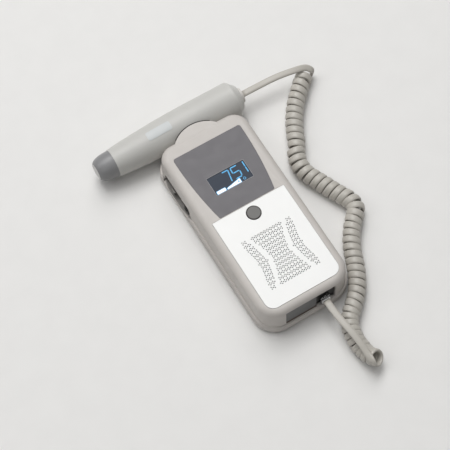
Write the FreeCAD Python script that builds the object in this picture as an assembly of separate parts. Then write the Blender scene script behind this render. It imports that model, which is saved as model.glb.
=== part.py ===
"""Handheld fetal doppler monitor: a two-shell casing with a probe laid along its top end and a curly cord.

Frame: millimetres, +Z up, origin at the centre of the face that the casing rests on.
+X runs to the right across the casing, +Y along it from the cord end to the probe end.
Each piece is one named node, written to parts/NODE.step.
"""
import FreeCAD
import Part
import math
import os

V = FreeCAD.Vector

# ---------------------------------------------------------------- driving dimensions
WALL = 2.2                      # wall of the front shell
PARTING = 10.0                  # height of the parting line between the shells
FACE = 29.8                     # height of the casing's front face

REAR_HALF_WIDTH = 38.05
REAR_LOW_END = -80.0            # cord end
REAR_HIGH_END = 79.7            # probe end
REAR_LOW_CORNER = 18.0
REAR_HIGH_CORNER = 13.4
REAR_BOTTOM_ROUND = 3.5
REAR_SHOULDER = 1.6             # rounded step where the rear shell stands out past the front shell
REAR_WALL = 3.05
REAR_FLOOR = 1.9

FRONT_HALF_WIDTH = 36.4
FRONT_LOW_END = -78.5
FRONT_HIGH_END = 78.4
FRONT_LOW_CORNER = 16.0
FRONT_HIGH_CORNER = 12.0
FRONT_EDGE_ROUND = 5.0
SIDE_DRAFT = 0.5                # the front shell's sides lean in by this much over its height
LOW_END_DRAFT = 1.5             # its cord end leans in more
HIGH_END_DRAFT = 0.3

PLATE_HALF_WIDTH = 30.0
PLATE_LOW = -71.0
PLATE_HIGH = 7.2
PLATE_LOW_CORNER = 7.0
PLATE_HIGH_CORNER = 0.8
PLATE_THICK = 0.8
PLATE_RECESS = 0.6
PLATE_GAP = 0.25

OVERLAY_LOW = 7.95
OVERLAY_HIGH = 65.9
OVERLAY_MID = 39.0
OVERLAY_HALF_LOW = 22.9
OVERLAY_HALF_MID = 27.3
OVERLAY_HALF_HIGH = 28.3
OVERLAY_THICK = 0.35
OVERLAY_RECESS = 0.3
OVERLAY_GAP = 0.12

VIEW_HALF_WIDTH = 15.4          # clear view of the display
VIEW_LOW = 24.6
VIEW_HIGH = 39.8

BUTTON_Y = -0.63
BUTTON_RADIUS = 5.3
BUTTON_HOLE = 5.7
BUTTON_TOP = 30.5
BUTTON_TRAVEL = 0.8

GRILLE_ROWS = 13
GRILLE_TOP = -17.35
GRILLE_PITCH = 3.275            # between rows
GRILLE_HALF_STEP = 1.23         # between a column and the single hole beside it
GRILLE_HOLE = 0.44
GRILLE_PAIR = 0.8               # the two holes of a column lie this far above and below the row
# columns in each row from the outside to the middle, and whether single holes flank the row
CENTRE_ROWS = ((10, True), (10, False), (8, True), (8, False), (7, False), (6, True), (6, False))
SIDE_ROWS = ((2, False, 18.4), (2, True, 17.5), (3, False, 16.75), (3, False, 15.95),
             (3, False, 15.25), (3, False, 14.65), (3, True, 14.35))

SPEAKER_Y = -37.0
SPEAKER_OPENING = 21.3          # half side of the opening behind the grille
SPEAKER_HALF = 22.5             # half side of the loudspeaker's flange
GASKET_THICK = 0.5

LIP_X = -2.5                    # crescent lip that hooks over the probe
LIP_Y = 59.4
LIP_RADIUS = 24.6
LIP_TOP = 29.5
LIP_BOTTOM = 27.5
LOWER_LIP = (0.2, 2.6)          # heights of the matching lip on the rear shell

CASE_SCREWS = ((-28, 66), (28, 66), (-28, -68), (28, -68))
SCREW_HEAD = 2.8
SCREW_HEAD_Z = (2.8, 5.0)
SCREW_SHANK = 1.25
SCREW_TOP = 22.0
FRONT_BOSS = 3.2
REAR_BOSS = 3.8

BOARD = (-31.4, 31.4, -9.0, 60.0)
BOARD_Z = (19.0, 20.6)
BOARD_POSTS = ((-28, 6), (28, 6), (-16, 56), (16, 56))
BOARD_POST_RADIUS = 2.4
BOARD_SCREW_SHANK = 0.9

WHEEL_X = -26.3
WHEEL_Y = 51.0
WHEEL_RADIUS = 11.4
WHEEL_Z = (11.2, 14.6)
WHEEL_NOTCHES = 8
NOTCH_RADIUS = 2.4
NOTCH_OUT = 0.6                 # how far outside the wheel's rim each notch is centred
WHEEL_SHAFT = 1.5
WHEEL_FIT = 0.05                # radial clearance of the wheel on its shaft
SIDE_RECESS = (29.3, 64.8, 17.0)    # its two ends along Y and its top
SIDE_SILL = 8.0                 # its bottom, in the rear shell
SIDE_RECESS_FLOOR = -34.2
SIDE_BLOCK = -31.8
PHONES_Y = 33.6
PHONES_Z = 13.2
PHONES_FACE = -36.9
PHONES_BORE = 1.8
PHONES_DEPTH = 14.0

END_HALF_WIDTH = 20.5           # recess in the cord end
END_TOP = 26.3
WINDOW_RIGHT = 4.7
WINDOW_INSET = 0.3              # how far the smoked panel lies behind the front shell's end face
WINDOW_THICK = 1.4
WINDOW_CLEAR = 0.2              # below and above it
JACK = (4.9, 20.3, -76.4, -63.2)
JACK_Z = (10.6, 24.6)
JACK_FLANGE = 1.2               # thickness of its front, which stands up to the recess's top

CELL_RADIUS = 7.1
CELL_PITCH = 14.7
CELL_Z = 11.1
CELL_ENDS = (-58.6, -9.1)
CELL_NUB = 1.6
BAY = (-22.4, 22.4, -61.0, -6.5)
BAY_WALL = 1.5
BAY_TOP = 17.0
LEDGE_Z = (2.7, 4.2)            # thick floor round the battery bay

DOOR_HALF_WIDTH = 24.4
DOOR_HIGH_END = -4.0
DOOR_THICK = 2.4
DOOR_TONGUE = 1.2               # width of the tongue along each side
DOOR_TONGUE_Z = 1.3
DOOR_GAP = 0.3

PROBE_Y = 93.2
PROBE_Z = 15.0
# outline of the probe as position along X and radius, tip to tail
TIP_OUTLINE = ((-78.0, 6.6), (-76.4, 8.3), (-73.2, 9.6), (-68.6, 10.3), (-63.8, 10.45))
HOUSING_OUTLINE = ((-63.8, 10.8), (-56.0, 11.65), (-48.0, 12.3), (-38.0, 12.95), (-28.0, 13.55),
                   (-4.0, 14.3), (17.0, 14.4), (38.6, 14.4))
CAP_OUTLINE = ((38.6, 14.4), (40.0, 13.5), (41.4, 11.7), (43.0, 10.4), (44.3, 9.1))
PROBE_WALL = 1.8
LENS_X = (-78.2, -76.7)         # disc set in the tip's end
LENS_RADIUS = 6.2
CAP_FACE = 44.4
GLAND_RADIUS = 3.6
GLAND_FLANGE = 5.9
GLAND_X = (44.9, 46.8)
CRADLE_GAP = 0.4                # between the probe and the casing's lips

WIRE = 4.6                      # diameter of the cord
CURL = 13.8                     # outer diameter of the curly stretch
CURL_Z = 6.95
LEAD_GAP = 0.3                  # between the gland, which moves with the probe, and the lead
PLUG_X = 11.1
PLUG_HALF_WIDTH = 3.8
PLUG_Z = (15.0, 21.6)
PLUG_Y = (-80.2, -68.2)
PLUG_EXIT_Z = 18.4

PROBE_LEAD_ROUTE = ((GLAND_X[1] + LEAD_GAP, PROBE_Y, PROBE_Z), (62.0, PROBE_Y, PROBE_Z), (78.5, 92.0, 16.5),
                    (92.6, 89.9, 16.0), (101.2, 89.8, 14.4), (105.9, 84.8, 10.7), (103.2, 78.9, 7.6),
                    (96.2, 79.3, 7.1))
CURL_ROUTE = ((98.0, 86.2), (84.8, 74.8), (71.4, 58.0), (62.2, 39.2), (53.2, 21.7), (60.0, 5.4),
              (67.6, -9.9), (76.6, -19.8), (75.1, -29.0), (61.4, -37.7), (51.8, -52.3), (46.0, -67.8),
              (36.4, -84.6), (20.6, -99.2), (16.2, -114.6), (17.7, -131.5))
PLUG_LEAD_ROUTE = ((PLUG_X, PLUG_Y[0], PLUG_EXIT_Z), (PLUG_X, -92.0, PLUG_EXIT_Z), (13.0, -107.0, 19.4),
                   (14.6, -121.0, 18.6), (15.6, -134.8, 18.2), (16.6, -138.3, 12.5), (17.5, -135.0, 7.05),
                   (17.6, -127.8, CURL_Z))


# ---------------------------------------------------------------- helpers
def box(x0, x1, y0, y1, z0, z1):
    return Part.makeBox(x1 - x0, y1 - y0, z1 - z0, V(x0, y0, z0))


def rod(x, y, z0, z1, radius):
    """Upright cylinder."""
    return Part.makeCylinder(radius, z1 - z0, V(x, y, z0), V(0, 0, 1))


def bar(x0, x1, y, z, radius):
    """Cylinder along X."""
    return Part.makeCylinder(radius, x1 - x0, V(x0, y, z), V(1, 0, 0))


def joined(solids):
    """One solid from overlapping ones."""
    first = solids[0]
    return first.fuse(list(solids[1:])).removeSplitter() if len(solids) > 1 else first


def corner_arc(centre, radius, start):
    """Quarter circle from the angle start, anticlockwise, in the plane of centre."""
    points = [centre + V(math.cos(math.radians(a)), math.sin(math.radians(a)), 0) * radius
              for a in (start, start + 45, start + 90)]
    return Part.Arc(*points).toShape()


def outline(half_width, low, high, low_radius, high_radius, z):
    """Closed wire of a rectangle with rounded corners at height z."""
    corners = (((half_width - low_radius), low + low_radius, low_radius, 270),
               ((half_width - high_radius), high - high_radius, high_radius, 0),
               (-(half_width - high_radius), high - high_radius, high_radius, 90),
               (-(half_width - low_radius), low + low_radius, low_radius, 180))
    arcs = [corner_arc(V(x, y, z), radius, start) for x, y, radius, start in corners]
    edges = []
    for arc, following in zip(arcs, arcs[1:] + arcs[:1]):
        edges.append(arc)
        edges.append(Part.LineSegment(arc.valueAt(arc.LastParameter),
                                      following.valueAt(following.FirstParameter)).toShape())
    return Part.Wire(edges)


def slab(half_width, low, high, low_radius, high_radius, z0, z1):
    """Upright prism on a rounded rectangle."""
    face = Part.Face(outline(half_width, low, high, low_radius, high_radius, z0))
    return face.extrude(V(0, 0, z1 - z0))


def edges_between(shape, z0, z1):
    """Edges that lie wholly between two heights."""
    slack = 0.01
    return [edge for edge in shape.Edges
            if edge.BoundBox.ZMin > z0 - slack and edge.BoundBox.ZMax < z1 + slack]


def turned(points, inset=0.0):
    """Smooth solid of revolution about the probe's axis, through points of (x, radius)."""
    curve = Part.BSplineCurve()
    curve.interpolate([V(x, PROBE_Y, PROBE_Z + radius - inset) for x, radius in points])
    start = V(points[0][0], PROBE_Y, PROBE_Z)
    end = V(points[-1][0], PROBE_Y, PROBE_Z)
    side = curve.toShape()
    near = Part.LineSegment(start, side.valueAt(side.FirstParameter)).toShape()
    far = Part.LineSegment(side.valueAt(side.LastParameter), end).toShape()
    back = Part.LineSegment(end, start).toShape()
    return Part.Face(Part.Wire([near, side, far, back])).revolve(start, V(1, 0, 0), 360)


def rounded_route(points):
    """Path of straight runs joined by tangent arcs, and the radii of the arcs."""
    edges = []
    radii = []
    start = points[0]
    for before, corner, after in zip(points, points[1:], points[2:]):
        toward = (corner - before).normalize()
        away = (after - corner).normalize()
        half_turn = toward.getAngle(away) / 2
        reach = 0.45 * min((corner - before).Length, (after - corner).Length)
        radius = reach / math.tan(half_turn)
        enter = corner - toward * reach
        leave = corner + away * reach
        inward = (away - toward).normalize()
        middle = corner + inward * (radius / math.cos(half_turn) - radius)
        edges.append(Part.LineSegment(start, enter).toShape())
        edges.append(Part.Arc(enter, middle, leave).toShape())
        radii.append(radius)
        start = leave
    edges.append(Part.LineSegment(start, points[-1]).toShape())
    return Part.Wire(edges), radii


def tube(name, route, diameter):
    """Round tube along a route, with its arcs and its volume printed for checking."""
    path, radii = rounded_route([V(*point) for point in route])
    first = path.Edges[0]
    ring = Part.Wire(Part.makeCircle(diameter / 2, first.valueAt(first.FirstParameter),
                                     first.tangentAt(first.FirstParameter)))
    solid = path.makePipeShell([ring], True, False, 2)
    expected = math.pi * diameter ** 2 / 4 * path.Length
    print(name, "length", round(path.Length, 1), "volume ratio", round(solid.Volume / expected, 4),
          "radii", [round(radius, 1) for radius in radii])
    return solid


# ---------------------------------------------------------------- casing
def overlay_outline(grow, z0, z1):
    """Prism on the membrane's outline: straight ends, bowed sides, rounded corners."""
    low = OVERLAY_LOW - grow
    high = OVERLAY_HIGH + grow
    corners = [V(-OVERLAY_HALF_LOW - grow, low, z0), V(OVERLAY_HALF_LOW + grow, low, z0),
               V(OVERLAY_HALF_HIGH + grow, high, z0), V(-OVERLAY_HALF_HIGH - grow, high, z0)]
    right = V(OVERLAY_HALF_MID + grow, OVERLAY_MID, z0)
    left = V(-OVERLAY_HALF_MID - grow, OVERLAY_MID, z0)
    edges = [Part.LineSegment(corners[0], corners[1]).toShape(),
             Part.Arc(corners[1], right, corners[2]).toShape(),
             Part.LineSegment(corners[2], corners[3]).toShape(),
             Part.Arc(corners[3], left, corners[0]).toShape()]
    prism = Part.Face(Part.Wire(edges)).extrude(V(0, 0, z1 - z0))
    upright = [edge for edge in prism.Edges if edge.BoundBox.ZLength > z1 - z0 - 0.01]
    high_edges = [edge for edge in upright if edge.BoundBox.YMin > OVERLAY_MID]
    low_edges = [edge for edge in upright if edge.BoundBox.YMin < OVERLAY_MID]
    return prism.makeFillet(2.0, high_edges).makeFillet(1.0, low_edges)


def front_outer():
    """Outside of the front shell, with its sides leaning in and its top edge rounded."""
    foot = outline(FRONT_HALF_WIDTH, FRONT_LOW_END, FRONT_HIGH_END,
                   FRONT_LOW_CORNER, FRONT_HIGH_CORNER, PARTING)
    head = outline(FRONT_HALF_WIDTH - SIDE_DRAFT, FRONT_LOW_END + LOW_END_DRAFT,
                   FRONT_HIGH_END - HIGH_END_DRAFT, FRONT_LOW_CORNER, FRONT_HIGH_CORNER, FACE)
    body = Part.makeLoft([foot, head], True, True)
    return body.makeFillet(FRONT_EDGE_ROUND, edges_between(body, FACE, FACE))


def front_cavity():
    """Inside of the front shell, running out through the parting plane."""
    foot = outline(FRONT_HALF_WIDTH - WALL, FRONT_LOW_END + WALL, FRONT_HIGH_END - WALL,
                   FRONT_LOW_CORNER - WALL, FRONT_HIGH_CORNER - WALL, PARTING - 0.5)
    head = outline(FRONT_HALF_WIDTH - WALL - SIDE_DRAFT, FRONT_LOW_END + WALL + LOW_END_DRAFT,
                   FRONT_HIGH_END - WALL - HIGH_END_DRAFT, FRONT_LOW_CORNER - WALL,
                   FRONT_HIGH_CORNER - WALL, FACE - 2.4)
    body = Part.makeLoft([foot, head], True, True)
    return body.makeFillet(FRONT_EDGE_ROUND - WALL, edges_between(body, FACE - 2.4, FACE - 2.4))


def lip(z0, z1):
    """Crescent-shaped lip on the probe end, clear of the probe that lies against it."""
    disc = rod(LIP_X, LIP_Y, z0, z1, LIP_RADIUS)
    keep = box(-30, 30, 70, 90, z0, z1)
    room = bar(-30, 30, PROBE_Y, PROBE_Z, max(radius for _, radius in HOUSING_OUTLINE) + CRADLE_GAP)
    return disc.common(keep).cut(room)


def side_recess():
    """Room cut in both shells' left side for the thumbwheel and the headphone socket."""
    low, high, top = SIDE_RECESS
    room = box(-45, SIDE_RECESS_FLOOR, low, high, SIDE_SILL, top)
    upper = [edge for edge in room.Edges
             if edge.BoundBox.XLength > 5 and edge.BoundBox.ZMin > top - 0.01]
    return room.makeFillet(3.0, upper)


def make_front_shell():
    shell = front_outer().cut(front_cavity())
    low, high, top = SIDE_RECESS
    added = [rod(x, y, PARTING + 0.1, FACE - 1.9, FRONT_BOSS) for x, y in CASE_SCREWS]
    added += [rod(x, y, BOARD_Z[1], FACE - 1.9, BOARD_POST_RADIUS) for x, y in BOARD_POSTS]
    added.append(box(SIDE_RECESS_FLOOR - 1, SIDE_BLOCK, low - 2, high + 2, PARTING, top + 1.6))
    inside = front_outer()
    shell = joined([shell] + [piece.common(inside) for piece in added] + [lip(LIP_BOTTOM, LIP_TOP)])
    cuts = [slab(PLATE_HALF_WIDTH + PLATE_GAP, PLATE_LOW - PLATE_GAP, PLATE_HIGH + PLATE_GAP,
                 PLATE_LOW_CORNER + PLATE_GAP, PLATE_HIGH_CORNER + PLATE_GAP, FACE - PLATE_RECESS, FACE + 1),
            overlay_outline(OVERLAY_GAP, FACE - OVERLAY_RECESS, FACE + 1),
            box(-17.2, 17.2, 22.8, 41.6, FACE - 1.5, FACE),
            box(-15.8, 15.8, 24.2, 40.2, FACE - 4, FACE),
            rod(0, BUTTON_Y, FACE - 4, FACE + 1, BUTTON_HOLE),
            slab(SPEAKER_OPENING, SPEAKER_Y - SPEAKER_OPENING, SPEAKER_Y + SPEAKER_OPENING,
                 4, 4, FACE - 4, FACE),
            side_recess(),
            box(SIDE_RECESS_FLOOR - 1, SIDE_BLOCK + 1, WHEEL_Y - WHEEL_RADIUS, WHEEL_Y + WHEEL_RADIUS,
                PARTING - 1, WHEEL_Z[1] + 0.4),
            box(SIDE_RECESS_FLOOR - 1, SIDE_BLOCK + 1, PHONES_Y - 3.7, PHONES_Y + 3.7,
                PARTING - 1, PHONES_Z + 3.7),
            box(-END_HALF_WIDTH, END_HALF_WIDTH, -90, FRONT_LOW_END + WALL + 3.5, PARTING - 1, END_TOP)]
    cuts += [rod(x, y, PARTING, SCREW_TOP + 2, SCREW_SHANK + 0.05) for x, y in CASE_SCREWS]
    cuts += [rod(x, y, BOARD_Z[1] - 0.1, 26.0, BOARD_SCREW_SHANK + 0.05) for x, y in BOARD_POSTS]
    for cut in cuts:
        shell = shell.cut(cut)
    return shell


def rear_outer():
    """Outside of the rear shell, its lower edge and its shoulder rounded."""
    body = slab(REAR_HALF_WIDTH, REAR_LOW_END, REAR_HIGH_END, REAR_LOW_CORNER, REAR_HIGH_CORNER,
                0, PARTING)
    body = body.makeFillet(REAR_BOTTOM_ROUND, edges_between(body, 0, 0))
    return body.makeFillet(REAR_SHOULDER, edges_between(body, PARTING, PARTING))


def rear_cavity():
    body = slab(REAR_HALF_WIDTH - REAR_WALL, REAR_LOW_END + REAR_WALL, REAR_HIGH_END - REAR_WALL,
                REAR_LOW_CORNER - REAR_WALL, REAR_HIGH_CORNER - REAR_WALL, REAR_FLOOR, PARTING + 1)
    return body.makeFillet(1.5, edges_between(body, REAR_FLOOR, REAR_FLOOR))


def door_room():
    """Space that the battery door slides in, with a groove along each side."""
    width = DOOR_HALF_WIDTH + DOOR_GAP
    high = DOOR_HIGH_END + DOOR_GAP
    top = DOOR_THICK + DOOR_GAP
    return joined([box(-width, width, -90, high, -1, top),
                   box(-width - DOOR_TONGUE, width + DOOR_TONGUE, -90, high,
                       DOOR_TONGUE_Z - DOOR_GAP, top)])


def make_rear_shell():
    outside = rear_outer()
    shell = outside.cut(rear_cavity())
    x0, x1, y0, y1 = BAY
    walls = box(x0 - BAY_WALL, x1 + BAY_WALL, y0 - BAY_WALL, y1 + BAY_WALL, LEDGE_Z[0], BAY_TOP)
    ledge = box(-29, 29, REAR_LOW_END + 2, DOOR_HIGH_END + 2.5, REAR_FLOOR - 0.5, LEDGE_Z[1])
    low, high, _ = SIDE_RECESS
    backing = box(SIDE_RECESS_FLOOR - 1, SIDE_BLOCK, low - 2, high + 2, SIDE_SILL - 3, PARTING)
    added = [walls, ledge.common(outside), backing, lip(*LOWER_LIP)]
    added += [rod(x, y, REAR_FLOOR - 0.5, PARTING - 0.1, REAR_BOSS) for x, y in CASE_SCREWS]
    shell = joined([shell] + added)
    cuts = [box(x0, x1, y0, y1, -1, BAY_TOP + 1), door_room(), side_recess(),
            box(SIDE_RECESS_FLOOR - 1, SIDE_BLOCK + 1, PHONES_Y - 3.7, PHONES_Y + 3.7,
                SIDE_SILL, PARTING + 1)]
    for x, y in CASE_SCREWS:
        cuts.append(rod(x, y, -1, SCREW_HEAD_Z[1], SCREW_HEAD + 0.4))
        cuts.append(rod(x, y, 0, PARTING + 1, SCREW_SHANK + 0.25))
    for cut in cuts:
        shell = shell.cut(cut)
    return shell


def make_battery_door():
    """Sliding door: a slice of the rear shell with a tongue along each side and a thumb ridge."""
    plate = box(-DOOR_HALF_WIDTH, DOOR_HALF_WIDTH, -90, DOOR_HIGH_END, 0, DOOR_THICK)
    tongues = box(-DOOR_HALF_WIDTH - DOOR_TONGUE, DOOR_HALF_WIDTH + DOOR_TONGUE, -70, DOOR_HIGH_END - 2,
                  DOOR_TONGUE_Z, DOOR_THICK)
    door = joined([plate, tongues]).common(rear_outer())
    for step in range(5):
        y = -66 + step * 2.4
        door = door.cut(box(-9, 9, y, y + 1.1, -1, 0.5))
    return door


# ---------------------------------------------------------------- front face
def make_display_overlay():
    """Membrane over the upper part of the face, with its clear opening cut out."""
    membrane = overlay_outline(0, FACE - OVERLAY_RECESS, FACE - OVERLAY_RECESS + OVERLAY_THICK)
    return membrane.cut(box(-VIEW_HALF_WIDTH, VIEW_HALF_WIDTH, VIEW_LOW, VIEW_HIGH, FACE - 2, FACE + 2))


def make_display_window():
    return box(-17.0, 17.0, 23.0, 41.4, FACE - 1.5, FACE - OVERLAY_RECESS)


def row_of_holes(middle, y, columns, flanked):
    """Centres of one row: columns of two holes with single holes between them."""
    found = []
    for k in range(columns):
        x = middle + (2 * k - columns + 1) * GRILLE_HALF_STEP
        found += [(x, y - GRILLE_PAIR), (x, y + GRILLE_PAIR)]
    singles = columns + 1 if flanked else columns - 1
    for k in range(singles):
        found.append((middle + (2 * k - singles + 1) * GRILLE_HALF_STEP, y))
    return found


def grille_holes():
    """Centres of all the sound holes, the rows mirrored about the middle one."""
    found = []
    for row in range(GRILLE_ROWS):
        y = GRILLE_TOP - row * GRILLE_PITCH
        kind = min(row, GRILLE_ROWS - 1 - row)
        found += row_of_holes(0.0, y, *CENTRE_ROWS[kind])
        columns, flanked, offset = SIDE_ROWS[kind]
        found += row_of_holes(-offset, y, columns, flanked)
        found += row_of_holes(offset, y, columns, flanked)
    return found


def make_speaker_plate():
    z = FACE - PLATE_RECESS
    edge = outline(PLATE_HALF_WIDTH, PLATE_LOW, PLATE_HIGH, PLATE_LOW_CORNER, PLATE_HIGH_CORNER, z)
    holes = [Part.Wire(Part.makeCircle(GRILLE_HOLE, V(x, y, z))) for x, y in grille_holes()]
    holes.append(Part.Wire(Part.makeCircle(BUTTON_HOLE, V(0, BUTTON_Y, z))))
    return Part.makeFace([edge] + holes, "Part::FaceMakerBullseye").extrude(V(0, 0, PLATE_THICK))


def make_power_button():
    """Round cap with a flange that keeps it in the casing and a stem over the switch."""
    cap = rod(0, BUTTON_Y, 26.6, BUTTON_TOP, BUTTON_RADIUS)
    cap = cap.makeFillet(0.5, edges_between(cap, BUTTON_TOP, BUTTON_TOP))
    flange = rod(0, BUTTON_Y, 26.0, 27.2, BUTTON_RADIUS + 1.2)
    stem = rod(0, BUTTON_Y, 25.3, 26.5, 1.5)
    return joined([cap, flange, stem])


def make_button_switch():
    body = box(-3, 3, BUTTON_Y - 3, BUTTON_Y + 3, BOARD_Z[1], 23.4)
    return joined([body, rod(0, BUTTON_Y, 23.0, 24.4, 1.6)])


# ---------------------------------------------------------------- display and electronics
def make_lcd_module():
    body = box(-18, 18, 21.0, 43.4, 23.4, 27.2)
    glass = box(-15.4, 15.4, 24.6, 39.8, 27.0, 28.0)
    return joined([body, glass])


def make_display_ribbon():
    """Flat flexible lead folded from the lower edge of the display down to the board."""
    points = [V(-8, 21.0, 24.6), V(-8, 18.0, 24.6), V(-8, 17.0, 23.6), V(-8, 17.0, 21.9),
              V(-8, 17.9, 20.9), V(-8, 23.0, 20.9)]
    upper = Part.makePolygon(points)
    strip = upper.extrude(V(16, 0, 0))
    return strip.makeOffsetShape(0.25, 0.01, fill=True)


def make_main_board():
    """Circuit board with its soldered components, hung from the front shell's four posts."""
    x0, x1, y0, y1 = BOARD
    board = box(x0, x1, y0, y1, *BOARD_Z)
    for x, y in BOARD_POSTS:
        board = board.cut(rod(x, y, 0, 30, BOARD_SCREW_SHANK + 0.2))
    chips = [box(8, 18, 4, 14, 20.5, 21.8), box(-20, -12, 6, 12, 20.5, 22.0), box(-10, 10, 26, 40, 20.5, 21.7),
             box(21, 27, 20, 30, 20.5, 23.5), box(-4, 10, 44, 56, 17.6, 19.1), box(14, 26, 30, 44, 17.4, 19.1)]
    cans = [rod(x, y, 20.5, 25.0, 2.4) for x, y in ((23, 38), (23, 46), (-24, 20))]
    return joined([board] + chips + cans)


def make_volume_potentiometer():
    body = rod(WHEEL_X, WHEEL_Y, 15.9, BOARD_Z[0], 5.4)
    return joined([body, rod(WHEEL_X, WHEEL_Y, WHEEL_Z[0] + 0.2, 16.5, WHEEL_SHAFT)])


def make_volume_wheel():
    """Thumbwheel with scalloped edge, turning on the potentiometer's shaft."""
    wheel = rod(WHEEL_X, WHEEL_Y, WHEEL_Z[0], WHEEL_Z[1], WHEEL_RADIUS)
    for k in range(WHEEL_NOTCHES):
        angle = 2 * math.pi * (k + 0.5) / WHEEL_NOTCHES
        wheel = wheel.cut(rod(WHEEL_X + (WHEEL_RADIUS + NOTCH_OUT) * math.cos(angle),
                              WHEEL_Y + (WHEEL_RADIUS + NOTCH_OUT) * math.sin(angle),
                              WHEEL_Z[0] - 1, WHEEL_Z[1] + 1, NOTCH_RADIUS))
    return wheel.cut(rod(WHEEL_X, WHEEL_Y, 0, 30, WHEEL_SHAFT + WHEEL_FIT))


def make_headphone_jack():
    """Socket block with a nose and a collar that fill the low end of the recess in the side."""
    body = box(SIDE_BLOCK, -18, PHONES_Y - 4.5, PHONES_Y + 4.5, PARTING + 0.2, BOARD_Z[0])
    nose = box(PHONES_FACE + 0.6, SIDE_BLOCK + 1, PHONES_Y - 3.4, PHONES_Y + 3.4, SIDE_SILL + 1, 15.9)
    collar = bar(PHONES_FACE, SIDE_BLOCK + 1, PHONES_Y, PHONES_Z, 2.6)
    return joined([body, nose, collar]).cut(bar(-40, PHONES_FACE + PHONES_DEPTH, PHONES_Y, PHONES_Z,
                                                PHONES_BORE))


def make_probe_jack():
    """Modular socket, its port open toward the cord end, with a slot for the plug's latch."""
    x0, x1, y0, y1 = JACK
    front = box(x0, x1, y0, y0 + JACK_FLANGE, JACK_Z[0], END_TOP - WINDOW_CLEAR)
    body = joined([box(x0, x1, y0, y1, *JACK_Z), front])
    width = PLUG_HALF_WIDTH + 0.15
    port = box(PLUG_X - width, PLUG_X + width, y0 - 1, PLUG_Y[1] + 1.2, PLUG_Z[0] - 0.15, PLUG_Z[1] + 0.15)
    latch_slot = box(PLUG_X - 1.8, PLUG_X + 1.8, y0 - 1, y0 + 6, PLUG_Z[0] - 2.4, PLUG_Z[0])
    return body.cut(port).cut(latch_slot)


def make_jack_board():
    """Small board over the modular socket."""
    return joined([box(2, 24.2, -73.5, -61, 24.7, 26.1), box(2, 30, -64.2, -61, 24.7, 26.1)])


def make_jack_cable():
    """Flat cable from the socket's board, over the loudspeaker's side, down to the main board."""
    run = box(24.0, 30.0, -64.0, -5.6, 26.2, 26.8)
    drop = box(24.0, 30.0, -6.2, -5.6, BOARD_Z[1], 26.8)
    cable = joined([run, drop])
    bend = [edge for edge in cable.Edges if edge.BoundBox.XLength > 5.9
            and edge.BoundBox.YMin > -5.7 and edge.BoundBox.ZMin > 26.7]
    return cable.makeFillet(0.5, bend)


def make_end_window():
    """Smoked panel that leans in with the front shell's end face."""
    left = -END_HALF_WIDTH + 0.15
    low = PARTING + WINDOW_CLEAR
    high = END_TOP - WINDOW_CLEAR
    draft = LOW_END_DRAFT / (FACE - PARTING)
    foot = FRONT_LOW_END + WINDOW_INSET + draft * (low - PARTING)
    head = FRONT_LOW_END + WINDOW_INSET + draft * (high - PARTING)
    edge = Part.makePolygon([V(left, foot, low), V(left, foot + WINDOW_THICK, low),
                             V(left, head + WINDOW_THICK, high), V(left, head, high), V(left, foot, low)])
    return Part.Face(edge).extrude(V(WINDOW_RIGHT - left, 0, 0))


# ---------------------------------------------------------------- loudspeaker
def make_speaker_gasket():
    top = FACE - 2.4
    low = SPEAKER_Y - SPEAKER_HALF
    high = SPEAKER_Y + SPEAKER_HALF
    ring = slab(SPEAKER_HALF, low, high, 5, 5, top - GASKET_THICK, top)
    return ring.cut(slab(SPEAKER_OPENING, SPEAKER_Y - SPEAKER_OPENING, SPEAKER_Y + SPEAKER_OPENING,
                         4, 4, top - 2, top + 2))


def make_loudspeaker_frame():
    """Square flange, tapering basket and magnet."""
    top = FACE - 2.4 - GASKET_THICK
    flange = slab(SPEAKER_HALF, SPEAKER_Y - SPEAKER_HALF, SPEAKER_Y + SPEAKER_HALF, 5, 5, top - 1.0, top)
    basket = Part.makeCone(13.0, 21.0, top - 1.0 - 20.4, V(0, SPEAKER_Y, 20.4))
    magnet = rod(0, SPEAKER_Y, 18.6, 20.6, 12.0)
    room = Part.makeCone(12.0, 20.0, top + 0.5 - 21.4, V(0, SPEAKER_Y, 21.4))
    return joined([flange, basket, magnet]).cut(room)


def make_loudspeaker_cone():
    """Paper cone with its dust cap."""
    top = FACE - 2.4 - GASKET_THICK - 0.4
    outer = Part.makeCone(8.0, 18.6, top - 22.0, V(0, SPEAKER_Y, 22.0))
    inner = Part.makeCone(7.4, 18.0, top - 22.0, V(0, SPEAKER_Y, 22.5))
    cap = rod(0, SPEAKER_Y, 22.0, 23.4, 6.0)
    return joined([outer.cut(inner), cap])


# ---------------------------------------------------------------- battery
def cell_columns():
    return [(-CELL_PITCH, 1), (0.0, -1), (CELL_PITCH, 1)]


def make_battery_cells():
    """Three AA cells side by side, the middle one turned round."""
    cells = []
    low, high = CELL_ENDS
    for x, direction in cell_columns():
        can = Part.makeCylinder(CELL_RADIUS, high - low, V(x, low, CELL_Z), V(0, 1, 0))
        can = can.makeFillet(0.6, [edge for edge in can.Edges if edge.BoundBox.YLength < 0.01])
        nub_y = high - 0.5 if direction > 0 else low - CELL_NUB
        nub = Part.makeCylinder(2.7, CELL_NUB + 0.5, V(x, nub_y, CELL_Z), V(0, 1, 0))
        cells.append(joined([can, nub]))
    return Part.makeCompound(cells)


def make_battery_springs():
    """Conical springs pressed nearly flat, one at the flat end of each cell."""
    springs = []
    for x, direction in cell_columns():
        y = CELL_ENDS[0] - 0.4 if direction > 0 else CELL_ENDS[1] + 0.4
        turns = [Part.makeTorus(2.6 + 0.4 * k, 0.4, V(x, y - direction * 0.5 * k, CELL_Z), V(0, 1, 0))
                 for k in range(3)]
        springs.append(joined(turns))
    return Part.makeCompound(springs)


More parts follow.
